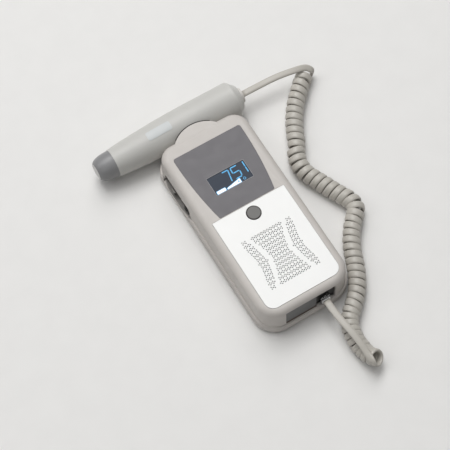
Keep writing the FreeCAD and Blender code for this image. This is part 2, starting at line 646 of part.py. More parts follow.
def make_battery_contacts():
    """Contact plates at both ends of the bay; the wide ones bridge two cells."""
    x0, x1, y0, y1 = BAY
    half = 5.5
    low_plates = [(-CELL_PITCH - half, half), (CELL_PITCH - half, CELL_PITCH + half)]
    high_plates = [(-CELL_PITCH - half, -CELL_PITCH + half), (-half, CELL_PITCH + half)]
    plates = [box(left, right, y0, y0 + 0.4, CELL_Z - half, CELL_Z + half) for left, right in low_plates]
    plates += [box(left, right, y1 - 0.4, y1, CELL_Z - half, CELL_Z + half) for left, right in high_plates]
    return Part.makeCompound(plates)


# ---------------------------------------------------------------- fasteners
def screw(x, y, head_z, head_radius, shank_radius, top):
    """Cross-recessed screw with its head down."""
    head = rod(x, y, head_z[0], head_z[1], head_radius)
    shank = rod(x, y, head_z[1] - 0.1, top, shank_radius)
    slot = head_radius * 0.62
    width = head_radius * 0.13
    cross = [box(x - slot, x + slot, y - width, y + width, head_z[0] - 1, head_z[0] + 0.8),
             box(x - width, x + width, y - slot, y + slot, head_z[0] - 1, head_z[0] + 0.8)]
    return joined([head, shank]).cut(cross[0]).cut(cross[1])


def make_case_screws():
    return Part.makeCompound([screw(x, y, SCREW_HEAD_Z, SCREW_HEAD, SCREW_SHANK, SCREW_TOP)
                              for x, y in CASE_SCREWS])


def make_board_screws():
    head_z = (BOARD_Z[0] - 1.4, BOARD_Z[0])
    return Part.makeCompound([screw(x, y, head_z, 2.0, BOARD_SCREW_SHANK, 25.0) for x, y in BOARD_POSTS])


# ---------------------------------------------------------------- probe
def make_probe_housing():
    outer = turned(HOUSING_OUTLINE)
    inner = turned([(x, radius) for x, radius in HOUSING_OUTLINE], PROBE_WALL)
    return outer.cut(inner)


def make_probe_tip():
    """Tapered nose, open at its flat end for the lens, with a spigot that enters the housing."""
    nose = turned(TIP_OUTLINE)
    spigot = bar(-64.0, -59.0, PROBE_Y, PROBE_Z, HOUSING_OUTLINE[0][1] - PROBE_WALL - 0.05)
    room = joined([bar(LENS_X[1], -58.0, PROBE_Y, PROBE_Z, 5.9), bar(-71.0, -58.0, PROBE_Y, PROBE_Z, 7.6)])
    return joined([nose, spigot]).cut(room).cut(bar(-80.0, LENS_X[1], PROBE_Y, PROBE_Z, LENS_RADIUS + 0.05))


def make_probe_lens():
    """Pale disc that closes the tip and is pressed to the skin."""
    return bar(LENS_X[0], LENS_X[1], PROBE_Y, PROBE_Z, LENS_RADIUS)


def make_transducer_crystals():
    """Two half discs, one sending and one receiving, behind the flat face."""
    disc = bar(LENS_X[1], -76.1, PROBE_Y, PROBE_Z, 5.5)
    slot = box(-80, -70, PROBE_Y - 0.35, PROBE_Y + 0.35, 0, 30)
    return disc.cut(slot)


def make_crystal_backing():
    return bar(-76.1, -66.0, PROBE_Y, PROBE_Z, 5.7)


def make_probe_board():
    board = box(-42, 26, PROBE_Y - 9, PROBE_Y + 9, PROBE_Z - 0.8, PROBE_Z + 0.8)
    parts = [box(-30, -20, PROBE_Y - 5, PROBE_Y + 5, PROBE_Z + 0.7, PROBE_Z + 2.6),
             box(-10, 2, PROBE_Y - 6, PROBE_Y + 4, PROBE_Z + 0.7, PROBE_Z + 2.2),
             box(10, 22, PROBE_Y - 6, PROBE_Y + 6, PROBE_Z + 0.7, PROBE_Z + 5.0)]
    return joined([board] + parts)


def make_probe_label():
    """Blank label that follows the housing's curve."""
    skin = turned(HOUSING_OUTLINE, -0.2).cut(turned(HOUSING_OUTLINE))
    label = slab(10.0, -3.6, 3.6, 1.5, 1.5, PROBE_Z + 5, PROBE_Z + 20)
    label.translate(V(-24.7, PROBE_Y - 0.6, 0))
    return skin.common(label)


def make_probe_end_cap():
    """Domed cap with a spigot that enters the housing and a bore for the gland."""
    dome = turned(CAP_OUTLINE)
    face = bar(CAP_OUTLINE[-1][0] - 0.1, CAP_FACE, PROBE_Y, PROBE_Z, CAP_OUTLINE[-1][1] - 0.5)
    spigot = bar(33.0, CAP_OUTLINE[0][0] + 0.1, PROBE_Y, PROBE_Z,
                 HOUSING_OUTLINE[-1][1] - PROBE_WALL - 0.05)
    room = bar(32.0, 37.5, PROBE_Y, PROBE_Z, HOUSING_OUTLINE[-1][1] - PROBE_WALL - 1.8)
    return joined([dome, face, spigot]).cut(room).cut(bar(32, 50, PROBE_Y, PROBE_Z, GLAND_RADIUS))


def make_probe_gland():
    neck = bar(37.0, GLAND_X[0] + 0.1, PROBE_Y, PROBE_Z, GLAND_RADIUS)
    flange = bar(GLAND_X[0], GLAND_X[1], PROBE_Y, PROBE_Z, GLAND_FLANGE)
    return joined([neck, flange])


# ---------------------------------------------------------------- cord
def make_cord_probe_lead():
    return tube("cord_probe_lead", PROBE_LEAD_ROUTE, WIRE)


def make_cord_coil():
    """The curly stretch as one fat tube of its outer diameter."""
    return tube("cord_coil", [(x, y, CURL_Z) for x, y in CURL_ROUTE], CURL)


def make_cord_plug_lead():
    return tube("cord_plug_lead", PLUG_LEAD_ROUTE, WIRE)


def make_cord_plug():
    """Four-way handset plug with its latch."""
    body = box(PLUG_X - PLUG_HALF_WIDTH, PLUG_X + PLUG_HALF_WIDTH, PLUG_Y[0], PLUG_Y[1], *PLUG_Z)
    ends = [edge for edge in body.Edges if edge.BoundBox.YLength < 0.01 and edge.BoundBox.YMin < PLUG_Y[0] + 0.1]
    body = body.makeFillet(0.4, ends)
    latch = box(PLUG_X - 1.5, PLUG_X + 1.5, PLUG_Y[0] + 1, PLUG_Y[0] + 9, PLUG_Z[0] - 1.2, PLUG_Z[0] - 0.4)
    root = box(PLUG_X - 1.5, PLUG_X + 1.5, PLUG_Y[0] + 7.6, PLUG_Y[0] + 9, PLUG_Z[0] - 1.2, PLUG_Z[0] + 0.4)
    plug = joined([body, latch, root])
    for k in range(4):
        x = PLUG_X + (k - 1.5) * 1.27
        plug = plug.cut(box(x - 0.25, x + 0.25, PLUG_Y[1] - 3, PLUG_Y[1] + 1, PLUG_Z[1] - 1.2, PLUG_Z[1] + 1))
    return plug


def make_plug_contacts():
    """Four contact blades in the plug's slots."""
    blades = []
    for k in range(4):
        x = PLUG_X + (k - 1.5) * 1.27
        blades.append(box(x - 0.2, x + 0.2, PLUG_Y[1] - 2.9, PLUG_Y[1] - 0.2, PLUG_Z[1] - 1.2, PLUG_Z[1] - 0.2))
    return Part.makeCompound(blades)


# ---------------------------------------------------------------- build
NODES = {
    "front_shell": make_front_shell,
    "rear_shell": make_rear_shell,
    "battery_door": make_battery_door,
    "display_overlay": make_display_overlay,
    "display_window": make_display_window,
    "speaker_plate": make_speaker_plate,
    "power_button": make_power_button,
    "button_switch": make_button_switch,
    "lcd_module": make_lcd_module,
    "display_ribbon": make_display_ribbon,
    "main_board": make_main_board,
    "volume_potentiometer": make_volume_potentiometer,
    "volume_wheel": make_volume_wheel,
    "headphone_jack": make_headphone_jack,
    "probe_jack": make_probe_jack,
    "jack_board": make_jack_board,
    "jack_cable": make_jack_cable,
    "end_window": make_end_window,
    "speaker_gasket": make_speaker_gasket,
    "loudspeaker_frame": make_loudspeaker_frame,
    "loudspeaker_cone": make_loudspeaker_cone,
    "battery_cells": make_battery_cells,
    "battery_springs": make_battery_springs,
    "battery_contacts": make_battery_contacts,
    "case_screws": make_case_screws,
    "board_screws": make_board_screws,
    "probe_housing": make_probe_housing,
    "probe_tip": make_probe_tip,
    "probe_lens": make_probe_lens,
    "transducer_crystals": make_transducer_crystals,
    "crystal_backing": make_crystal_backing,
    "probe_board": make_probe_board,
    "probe_label": make_probe_label,
    "probe_end_cap": make_probe_end_cap,
    "probe_gland": make_probe_gland,
    "cord_probe_lead": make_cord_probe_lead,
    "cord_coil": make_cord_coil,
    "cord_plug_lead": make_cord_plug_lead,
    "cord_plug": make_cord_plug,
    "plug_contacts": make_plug_contacts,
}


def main():
    os.makedirs("parts", exist_ok=True)
    for name, make in NODES.items():
        shape = make()
        shape.exportStep(os.path.join("parts", name + ".step"))
        print(name, "solids", len(shape.Solids), "valid", shape.isValid(), "volume", round(shape.Volume, 1))


main()
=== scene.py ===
"""Looks of the handheld fetal doppler monitor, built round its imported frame.

Blender objects are in metres. Places and sizes written here are in millimetres in the same frame,
and mm() turns them into metres: +X right, +Y toward the probe, +Z out of the display face.
"""

import bisect
import math
import random

import bmesh
import bpy
from mathutils import Matrix, Vector


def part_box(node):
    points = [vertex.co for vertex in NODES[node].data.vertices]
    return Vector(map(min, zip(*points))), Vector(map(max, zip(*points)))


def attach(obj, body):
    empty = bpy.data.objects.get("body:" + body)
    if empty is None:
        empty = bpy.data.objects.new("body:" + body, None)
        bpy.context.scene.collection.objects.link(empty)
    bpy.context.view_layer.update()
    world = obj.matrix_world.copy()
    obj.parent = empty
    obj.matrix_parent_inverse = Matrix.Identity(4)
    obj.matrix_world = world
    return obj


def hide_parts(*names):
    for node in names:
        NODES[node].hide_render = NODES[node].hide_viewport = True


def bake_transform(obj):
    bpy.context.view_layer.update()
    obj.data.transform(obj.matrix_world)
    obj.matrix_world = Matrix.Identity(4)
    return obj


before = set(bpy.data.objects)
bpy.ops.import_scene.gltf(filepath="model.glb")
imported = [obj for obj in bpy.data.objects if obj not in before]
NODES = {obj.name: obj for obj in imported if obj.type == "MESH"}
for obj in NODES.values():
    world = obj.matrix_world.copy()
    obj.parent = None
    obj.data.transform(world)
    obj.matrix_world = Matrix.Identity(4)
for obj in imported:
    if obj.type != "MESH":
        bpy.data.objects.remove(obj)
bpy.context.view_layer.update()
random.seed(7)

# ---------------------------------------------------------------- sizes, in millimetres
CORD_WIDTH = 5.2                    # the cord is a flat oval
CORD_NARROW = 4.6                   # where its turns are pressed together
CORD_THICK = 2.3
CORD_SIDES = 28                     # points round its section
SQUARENESS = 0.78                   # 1 is an ellipse, and less is squarer
CURL_GAP = 0.32                     # between one turn and the next
RIDGE = 0.07                        # height of its lengthwise ridges, as a share of half its thickness
CURL_TURNS = 47.5
CURL_STEPS = 16                     # control points in each turn
SWELL = 0.1                         # most that a turn's radius wanders
SWELL_RATE = 0.12                   # share of the way to its new radius that each control point goes
SPLINE_STEPS = 6                    # points read from the cord's spline between control points
AXIS_STEPS = 24                     # and from the axis of the curly stretch
GUIDE = 1.0                         # from the middle of the cord to the guide that its flat side follows

# the cord's routes: the free lead at the probe, the axis of the curly stretch, the free lead at the plug
PROBE_LEAD = ((47.1, 93.2, 15.0), (62.0, 93.2, 15.0), (78.5, 92.0, 16.5), (92.6, 89.9, 16.0),
              (101.2, 89.0, 14.0), (104.2, 86.2, 12.3), (105.3, 85.1, 10.5))
CURL_Z = 6.95
CURL_ROUTE = ((101.0, 88.3, CURL_Z), (84.8, 74.8, CURL_Z), (71.4, 58.0, CURL_Z), (62.2, 39.2, CURL_Z),
              (53.2, 21.7, CURL_Z), (60.0, 5.4, CURL_Z), (66.9, -10.5, CURL_Z), (72.6, -21.3, CURL_Z),
              (71.6, -28.9, CURL_Z), (61.4, -37.7, CURL_Z), (51.4, -52.5, CURL_Z), (45.9, -67.8, CURL_Z),
              (36.0, -84.5, CURL_Z), (18.4, -98.4, CURL_Z), (15.2, -114.2, CURL_Z), (16.4, -123.0, 7.2),
              (17.1, -128.8, 8.5), (20.0, -133.5, 12.4))
PLUG_LEAD = ((14.7, -134.0, 15.0), (14.9, -127.0, 16.2), (14.4, -118.5, 18.2), (13.0, -107.0, 19.2),
             (11.1, -92.0, 18.4), (11.1, -80.2, 18.4))
PROBE_FACING = (0.0, -0.05, 1.0)        # where the cord's flat side faces at the gland
PLUG_FACING = (0.0, 0.0, 1.0)           # and at the plug
# advance in a turn at distances along the axis
PITCH = ((0, 7.8), (6, 6.5), (12, 6.0), (25, 5.85), (40, 5.55), (59, 5.5), (62, 6.2), (66, 5.8),
         (74, 5.9), (86, 5.95), (92, 5.65), (115, 5.6), (122, 5.5), (126, 5.9), (135, 5.9), (140, 5.5),
         (150, 5.35), (175, 5.45), (213, 5.5), (217, 4.75), (232, 4.5), (250, 4.4), (262, 4.0))
# from the axis to the middle of the cord, at distances along the axis
CURL_RADIUS = ((0, 5.25), (7, 5.95), (235, 5.6), (262, 5.3))
# how far each turn's right side leans back along the axis
LEAN = ((0, 1.7), (5, 1.5), (9, 0.0), (58, 0.0), (62, -0.1), (70, 2.4), (76, 2.2), (82, 1.1), (89, 0.0),
        (117, 0.0), (126, -1.0), (135, 1.0), (146, 0.0))
# how far the turn stands to the right of the axis
JOG = ((0, 0.0), (56, 0.0), (62, 0.3), (68, -0.9), (74, -0.5), (82, 0.0))


def mm(*values):
    """Millimetres to metres, one value or a point."""
    return values[0] / 1000 if len(values) == 1 else Vector(values) / 1000


def box_mm(node):
    """Low and high corner of a CAD node's box, in millimetres."""
    return [[1000 * c for c in corner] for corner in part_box(node)]


# ---------------------------------------------------------------- camera, floor and light
CAMERA_ELEVATION = 65.88            # degrees
CAMERA_YAW = -30.07
CAMERA_ROLL = -1.10
CAMERA_DISTANCE = 1.0529            # metres
CAMERA_AIM = mm(-22.55, 1.8, 30.0)
SENSOR = 36.0                       # millimetres
LENS = 118.16
SKY = 0.123                         # strength of the even light from all round
LIGHT_DISTANCE = 3.0                # metres
FLOOR_SIZE = 3.0                    # metres
FLOOR_DROP = 0.00005                # metres from the part's underside down to the floor
# name, azimuth and elevation in degrees, width in metres, watts
LIGHTS = (("beyond", 60, 45, 1.8, 20.0), ("left", 148, 45, 1.8, 14.3), ("high", 90, 65, 1.8, 41.4),
          ("overhead", 0, 90, 2.2, 16.3), ("fill", 240, 50, 1.8, 5.2))


def make_camera():
    """The photo's camera: it looks at CAMERA_AIM from above the cord end's left."""
    elevation, yaw, roll = (math.radians(a) for a in (CAMERA_ELEVATION, CAMERA_YAW, CAMERA_ROLL))
    back = Vector((math.sin(yaw) * math.cos(elevation), -math.cos(yaw) * math.cos(elevation),
                   math.sin(elevation)))
    right = Vector((math.cos(yaw), math.sin(yaw), 0))
    up = back.cross(right)
    tilted_right = right * math.cos(roll) + up * math.sin(roll)
    tilted_up = up * math.cos(roll) - right * math.sin(roll)
    data = bpy.data.cameras.new("camera")
    data.sensor_width = SENSOR
    data.lens = LENS
    data.clip_start = 0.01
    camera = bpy.data.objects.new("camera", data)
    bpy.context.scene.collection.objects.link(camera)
    turn = Matrix((tilted_right, tilted_up, back)).transposed().to_4x4()
    camera.matrix_world = Matrix.Translation(CAMERA_AIM + back * CAMERA_DISTANCE) @ turn
    bpy.context.scene.camera = camera


def area_light(name, place, size, power):
    """Round light turned toward the origin."""
    data = bpy.data.lights.new(name, "AREA")
    data.shape = "DISK"
    data.size = size
    data.energy = power
    light = bpy.data.objects.new(name, data)
    light.location = place
    light.rotation_euler = (-Vector(place)).to_track_quat("-Z", "Y").to_euler()
    bpy.context.scene.collection.objects.link(light)


def make_light():
    """Even sky, wide soft lights round the part, and colours shown as they are."""
    world = bpy.data.worlds.new("studio")
    world.use_nodes = True
    sky = world.node_tree.nodes["Background"]
    sky.inputs["Color"].default_value = (1.0, 1.0, 1.0, 1.0)
    sky.inputs["Strength"].default_value = SKY
    bpy.context.scene.world = world
    for name, azimuth, elevation, size, power in LIGHTS:
        level = LIGHT_DISTANCE * math.cos(math.radians(elevation))
        place = (level * math.cos(math.radians(azimuth)), level * math.sin(math.radians(azimuth)),
                 LIGHT_DISTANCE * math.sin(math.radians(elevation)))
        area_light(name, place, size, power)
    bpy.context.scene.view_settings.view_transform = "Standard"
    bpy.context.scene.view_settings.look = "None"


# ---------------------------------------------------------------- materials
MOTTLE_SCALE = 38.0                 # of the noise that mottles a moulded colour
GLOSS_SCALE = 140.0                 # of the noise that makes its gloss uneven
GLOSS_SPREAD = 0.06                 # how far the roughness wanders to either side
GRAIN_STRENGTH = 0.35
WORN = (0.52, 0.60)                 # pointiness where an edge starts to look worn, and is fully so
WORN_SHADE = 1.35
WALL_SOFTNESS = 0.05                # half the range of tilt in which the walls' colour fades in
SHADE_EDGE = 0.12                   # width of the soft edge of a painted-shade ellipsoid, as a share of its radii


def linear(*rgb):
    """Colour seen on a screen, 0 to 255, as the linear values a shader takes."""
    return tuple((c / 255 / 12.92 if c <= 10 else ((c / 255 + 0.055) / 1.055) ** 2.4) for c in rgb)


class Shader:
    """A material and short ways to add nodes to it."""

    def __init__(self, name):
        self.material = bpy.data.materials.new(name)
        self.material.use_nodes = True
        self.tree = self.material.node_tree
        self.surface = self.tree.nodes["Principled BSDF"]
        self.place = self.tree.nodes.new("ShaderNodeTexCoord").outputs["Object"]

    def add(self, kind, inputs=None, **settings):
        """New node, each input linked to a socket or set to a value."""
        node = self.tree.nodes.new(kind)
        for key, value in settings.items():
            setattr(node, key, value)
        for key, value in (inputs or {}).items():
            if isinstance(value, bpy.types.NodeSocket):
                self.tree.links.new(value, node.inputs[key])
            else:
                node.inputs[key].default_value = value
        return node

    def noise(self, scale, detail=3.0, roughness=0.5, place=None):
        """Even noise, finer with a larger scale."""
        inputs = {"Vector": place or self.place, "Scale": scale, "Detail": detail, "Roughness": roughness}
        return self.add("ShaderNodeTexNoise", inputs).outputs["Fac"]

    def spread(self, value, low, high, start=0.3, end=0.7):
        """Value from a texture, mapped to between low and high."""
        inputs = {"Value": value, "From Min": start, "From Max": end, "To Min": low, "To Max": high}
        return self.add("ShaderNodeMapRange", inputs).outputs["Result"]

    def blend(self, factor, first, second):
        """Colour between two others."""
        node = self.add("ShaderNodeMix", {"Factor": factor}, data_type="RGBA")
        for socket, value in zip([s for s in node.inputs if s.type == "RGBA"], (first, second)):
            if isinstance(value, bpy.types.NodeSocket):
                self.tree.links.new(value, socket)
            else:
                socket.default_value = (*value[:3], 1)
        return [s for s in node.outputs if s.type == "RGBA"][0]

    def bump(self, height, strength, distance):
        """Normals of a surface that this height raises, the distance in metres."""
        inputs = {"Height": height, "Strength": strength, "Distance": distance}
        return self.add("ShaderNodeBump", inputs).outputs["Normal"]

    def link(self, output, socket):
        """Link a node's output to a socket of the surface."""
        self.tree.links.new(output, self.surface.inputs[socket])


def shade(colour, factor):
    """Colour made darker or lighter."""
    return tuple(min(1.0, c * factor) for c in colour)


def moulded(name, colour, roughness=0.5, grain=2600.0, depth=0.02, mottle=0.03, wear=0.12, specular=0.4,
            coat=0.0, clear=0.0, walls=None, wall_tilt=0.5, shaded_hollows=()):
    """Moulded plastic: spark-eroded grain, faint mottling, uneven gloss and paler, polished edges.

    Faces steeper than wall_tilt take the walls colour. Each ellipsoid given for the recesses darkens the
    colour with painted shade, where little light reaches; each is a middle and radii in millimetres, and
    a shade."""
    s = Shader(name)
    broad = s.noise(MOTTLE_SCALE, 4.0, 0.6)
    body = s.blend(s.spread(broad, 0.0, 1.0), shade(colour, 1 - mottle), shade(colour, 1 + mottle))
    edge = s.add("ShaderNodeNewGeometry").outputs["Pointiness"]
    worn = s.spread(edge, 0.0, wear, *WORN)
    final = s.blend(worn, body, shade(colour, WORN_SHADE))
    if walls:
        normal = s.add("ShaderNodeNewGeometry").outputs["Normal"]
        upward = s.add("ShaderNodeSeparateXYZ", {"Vector": normal}).outputs["Z"]
        flat = s.spread(upward, 0.0, 1.0, wall_tilt - WALL_SOFTNESS, wall_tilt + WALL_SOFTNESS)
        final = s.blend(flat, walls, final)
    # painted shade: each ellipsoid darkens the colour inside it, fading in at its edge, where a recess
    # gets little light
    for middle, radii, factor in shaded_hollows:
        mapped = s.add("ShaderNodeMapping", {
            "Vector": s.place, "Scale": [1000 / r for r in radii],
            "Location": [-c / r for c, r in zip(middle, radii)]}).outputs["Vector"]
        inside = s.add("ShaderNodeTexGradient", {"Vector": mapped}, gradient_type="SPHERICAL")
        painted_shade = s.spread(inside.outputs["Fac"], 0.0, 1.0, 0.0, SHADE_EDGE)
        final = s.blend(painted_shade, final, shade(colour, factor))
    s.link(final, "Base Color")
    patches = s.noise(GLOSS_SCALE, 3.0, 0.55)
    s.link(s.spread(patches, roughness - GLOSS_SPREAD, roughness + GLOSS_SPREAD), "Roughness")
    fine = s.noise(grain, 2.0, 0.6)
    s.link(s.bump(fine, GRAIN_STRENGTH, mm(depth)), "Normal")
    s.surface.inputs["Specular IOR Level"].default_value = specular
    s.surface.inputs["Coat Weight"].default_value = coat
    s.surface.inputs["Transmission Weight"].default_value = clear
    return s.material


def metal(name, colour, roughness=0.3, brush=900.0, stretch=(1.0, 14.0, 1.0)):
    """Brushed or plated metal: long fine scratches and uneven sheen."""
    s = Shader(name)
    scaled = s.add("ShaderNodeMapping", {"Vector": s.place, "Scale": stretch}).outputs["Vector"]
    lines = s.noise(brush, 3.0, 0.6, scaled)
    s.link(s.blend(s.spread(lines, 0.0, 1.0), shade(colour, 0.86), shade(colour, 1.08)), "Base Color")
    s.link(s.spread(lines, roughness - 0.07, roughness + 0.09), "Roughness")
    s.link(s.bump(lines, 0.2, mm(0.01)), "Normal")
    s.surface.inputs["Metallic"].default_value = 1.0
    return s.material


def glowing(name, colour, strength):
    """Lit figure of the display, with the faint cell structure of its dots."""
    s = Shader(name)
    cells = s.noise(9000.0, 1.0)
    lit = s.blend(s.spread(cells, 0.0, 1.0), shade(colour, 0.93), shade(colour, 1.04))
    s.link(lit, "Base Color")
    s.link(lit, "Emission Color")
    s.surface.inputs["Emission Strength"].default_value = strength
    s.surface.inputs["Roughness"].default_value = 0.45
    return s.material


CASING = linear(197, 192, 187)
PROBE = linear(194, 193, 189)
# painted shade in the recess in the side, where little light reaches: middle, radii and how dark it is,
# in each shell
RECESS_SHADE = ((-33.4, 47.0, 12.5), (3.4, 27.0, 8.0), 0.28)
SILL_SHADE = ((-33.4, 47.0, 10.5), (9.0, 24.0, 3.6), 0.3)
LEDGE_SHADE = ((-35.0, 47.0, 8.6), (4.6, 22.0, 1.2), 0.45)        # painted shade on the flat bottom of the recess
HUB_SHADE = ((-26.3, 51.0, 12.9), (11.4, 11.4, 40.0), 0.25)       # painted shade on the thumbwheel's middle, deep in the recess inside its pale rim
LOOKS = {
    "front_shell": moulded("casing_front", CASING, 0.5, depth=0.025, shaded_hollows=(RECESS_SHADE,)),
    "rear_shell": moulded("casing_rear", shade(CASING, 0.97), 0.52, depth=0.025,
                          shaded_hollows=(SILL_SHADE, LEDGE_SHADE)),
    "battery_door": moulded("casing_door", shade(CASING, 0.88), 0.52, depth=0.025),
    "display_overlay": moulded("membrane", linear(109, 107, 110), 0.55, grain=5200.0, depth=0.012,
                               mottle=0.02, wear=0.05, walls=linear(84, 82, 84)),
    "display_window": moulded("window", linear(70, 76, 86), 0.6, grain=700.0, depth=0.002, mottle=0.03,
                              wear=0.0, specular=0.1),
    # white paint on the face; the steep faces round the grille holes and the plate's edge take painted
    # shade
    "speaker_plate": moulded("plate_paint_and_hole_shade", linear(242, 242, 240), 0.42, grain=1900.0, depth=0.01,
                             mottle=0.01, wear=0.1, walls=linear(82, 74, 68)),
    "power_button": moulded("button_face", linear(113, 112, 110), 0.55, grain=3000.0, depth=0.03,
                            walls=linear(58, 56, 53), wall_tilt=0.85),
    "button_switch": moulded("switch_body", linear(30, 30, 32), 0.4),
    "lcd_module": moulded("lcd_body", linear(52, 56, 60), 0.35),
    "display_ribbon": moulded("ribbon_film", linear(190, 130, 60), 0.4),
    "main_board": moulded("board_mask", linear(40, 96, 58), 0.35, grain=500.0, mottle=0.12),
    "volume_potentiometer": metal("can_metal", linear(170, 170, 168), 0.3),
    # the wheel's steep faces and its middle are darkened with painted shade, where its notches and hub
    # get little light
    "volume_wheel": moulded("wheel_plastic", linear(150, 146, 140), 0.5, walls=linear(58, 54, 50),
                            shaded_hollows=(HUB_SHADE,)),
    "headphone_jack": moulded("socket_black", linear(34, 33, 32), 0.45),
    "probe_jack": moulded("jack_black", linear(34, 34, 34), 0.45),
    "jack_board": moulded("small_board_mask", linear(40, 96, 58), 0.35, grain=500.0, mottle=0.12),
    "jack_cable": moulded("cable_jacket", linear(150, 150, 152), 0.5),
    "end_window": moulded("smoked_panel", linear(106, 106, 106), 0.42, grain=3600.0, depth=0.004),
    "speaker_gasket": moulded("foam", linear(36, 36, 36), 0.9, grain=1500.0, depth=0.15),
    "loudspeaker_frame": moulded("basket_paint", linear(28, 28, 30), 0.4),
    "loudspeaker_cone": moulded("cone_paper", linear(40, 39, 38), 0.85, grain=1200.0, depth=0.08),
    "battery_cells": moulded("cell_sleeve", linear(120, 122, 128), 0.3, coat=0.3),
    "battery_springs": metal("spring_wire", linear(190, 188, 182), 0.25),
    "battery_contacts": metal("contact_plate", linear(190, 188, 182), 0.25),
    "case_screws": metal("screw_steel", linear(150, 148, 144), 0.35),
    "board_screws": metal("board_screw_steel", linear(150, 148, 144), 0.35),
    "probe_housing": moulded("probe_plastic", PROBE, 0.42, grain=3600.0, depth=0.012, mottle=0.02),
    # painted light: the end cap takes the probe's colour a tenth lighter, for the light that falls on it
    "probe_end_cap": moulded("probe_cap_painted_light", shade(PROBE, 1.1), 0.42, grain=3600.0, depth=0.012,
                             mottle=0.02),
    "probe_tip": moulded("tip_plastic", linear(137, 137, 138), 0.35, grain=3600.0, depth=0.01,
                         mottle=0.03),
    "transducer_crystals": moulded("ceramic", linear(214, 206, 188), 0.6),
    "crystal_backing": moulded("backing_resin", linear(60, 54, 52), 0.5),
    "probe_board": moulded("probe_board_mask", linear(40, 96, 58), 0.35, grain=500.0, mottle=0.12),
    "probe_lens": moulded("lens_rubber", linear(210, 209, 207), 0.5, grain=3600.0, depth=0.01,
                          mottle=0.02),
    "probe_label": moulded("label_film", linear(199, 202, 202), 0.4, grain=2600.0, depth=0.006,
                           mottle=0.01),
    "probe_gland": moulded("gland_plastic", linear(206, 203, 198), 0.45),
    "cord_plug": moulded("plug_clear", linear(120, 120, 118), 0.1, grain=900.0, depth=0.002,
                         mottle=0.01, coat=0.6, clear=0.85),
    "plug_contacts": metal("contact_gold", linear(212, 176, 96), 0.25),
}


def dress(node, material):
    """Give a CAD node its material."""
    mesh = NODES[node].data
    mesh.materials.clear()
    mesh.materials.append(material)


# ---------------------------------------------------------------- cord
def spline_points(points, resolution):
    """Points read along a NURBS spline of order 3 with these control points, in metres."""
    curve = bpy.data.curves.new("route", "CURVE")
    curve.dimensions = "3D"
    curve.resolution_u = resolution
    spline = curve.splines.new("NURBS")
    spline.points.add(len(points) - 1)
    for point, place in zip(spline.points, points):
        point.co = (*place, 1.0)
    spline.order_u = 3
    spline.use_endpoint_u = True
    holder = bpy.data.objects.new("route", curve)
    bpy.context.scene.collection.objects.link(holder)
    bpy.context.view_layer.update()
    mesh = bpy.data.meshes.new_from_object(holder)
    found = [vertex.co.copy() for vertex in mesh.vertices]
    bpy.data.objects.remove(holder)
    bpy.data.curves.remove(curve)
    bpy.data.meshes.remove(mesh)
    return found


def carried_frames(points, start_up):
    """For each point its direction and a side vector, turned as little as possible along the line."""
    frames = []
    side = None
    for k, point in enumerate(points):
        ahead = points[min(k + 1, len(points) - 1)] - points[max(k - 1, 0)]
        ahead.normalize()
        if side is None:
            side = start_up.cross(ahead)
        side = (side - ahead * side.dot(ahead)).normalized()
        frames.append((ahead, side.copy()))
    return frames


def between(table, value):
    """Value read from a table of (place, value) pairs, straight between its entries."""
    places = [place for place, _ in table]
    k = min(max(bisect.bisect_right(places, value) - 1, 0), len(table) - 2)
    part = min(max((value - places[k]) / (places[k + 1] - places[k]), 0.0), 1.0)
    return table[k][1] + (table[k + 1][1] - table[k][1]) * part


def curl_points():
    """Control points of the helix, wound round the axis of the curly stretch, each with its outward
    direction and the width that the cord has room for there."""
    axis = spline_points([mm(*point) for point in CURL_ROUTE], AXIS_STEPS)
    frames = carried_frames(axis, Vector((0, 0, 1)))
    reach = [0.0]
    turned = [0.0]
    for a, b in zip(axis, axis[1:]):
        reach.append(reach[-1] + (b - a).length)
        turned.append(turned[-1] + (b - a).length / mm(between(PITCH, 1000 * reach[-1])))
    count = round(CURL_TURNS * CURL_STEPS)
    found = []
    swell = 0.0
    for k in range(count + 1):
        if k % CURL_STEPS == 0:
            swell_goal = random.uniform(-SWELL, SWELL)
        swell += (swell_goal - swell) * SWELL_RATE
        goal = turned[-1] * k / count
        j = min(max(bisect.bisect_right(turned, goal) - 1, 0), len(axis) - 2)
        part = (goal - turned[j]) / (turned[j + 1] - turned[j])
        centre = axis[j].lerp(axis[j + 1], part)
        ahead, side = frames[j]
        up = ahead.cross(side)
        # left-handed: over the top toward the right as the curl runs on
        angle = -2 * math.pi * k / CURL_STEPS
        outward = side * math.cos(angle) + up * math.sin(angle)
        place = 1000 * reach[j]
        radius = between(CURL_RADIUS, place) + swell
        centre -= ahead * mm(between(LEAN, place) * math.cos(angle))
        centre += side * mm(between(JOG, place))
        width = min(CORD_WIDTH, max(between(PITCH, place) - CURL_GAP, CORD_NARROW))
        found.append((centre + outward * mm(radius), outward, width))
    return found


def lead_points(places, joined_to, facing):
    """Control points of a free lead, from where it joins the curl outward, the flat side turning slowly
    from the way it faces there to facing."""
    found = []
    before, side, _ = joined_to
    for k, place in enumerate(places):
        point = mm(*place)
        ahead = (point - before).normalized()
        side = side.lerp(Vector(facing), min(1.0, (k + 1) / 2))
        side = (side - ahead * side.dot(ahead)).normalized()
        found.append((point, side, CORD_WIDTH))
        before = point
    return found


def section(width, thick, sides):
    """Flat oval with four faint lengthwise ridges on its broad faces, as (across, outward) pairs."""
    points = []
    for k in range(sides):
        angle = 2 * math.pi * (k + 0.5) / sides
        c, s = math.cos(angle), math.sin(angle)
        across = math.copysign(abs(c) ** SQUARENESS, c) * width / 2
        outward = math.copysign(abs(s) ** SQUARENESS, s) * thick / 2
        ridge = 1 + RIDGE * math.cos(2 * math.pi * 4 * across / width) * abs(s)
        points.append((across, outward * ridge))
    return points


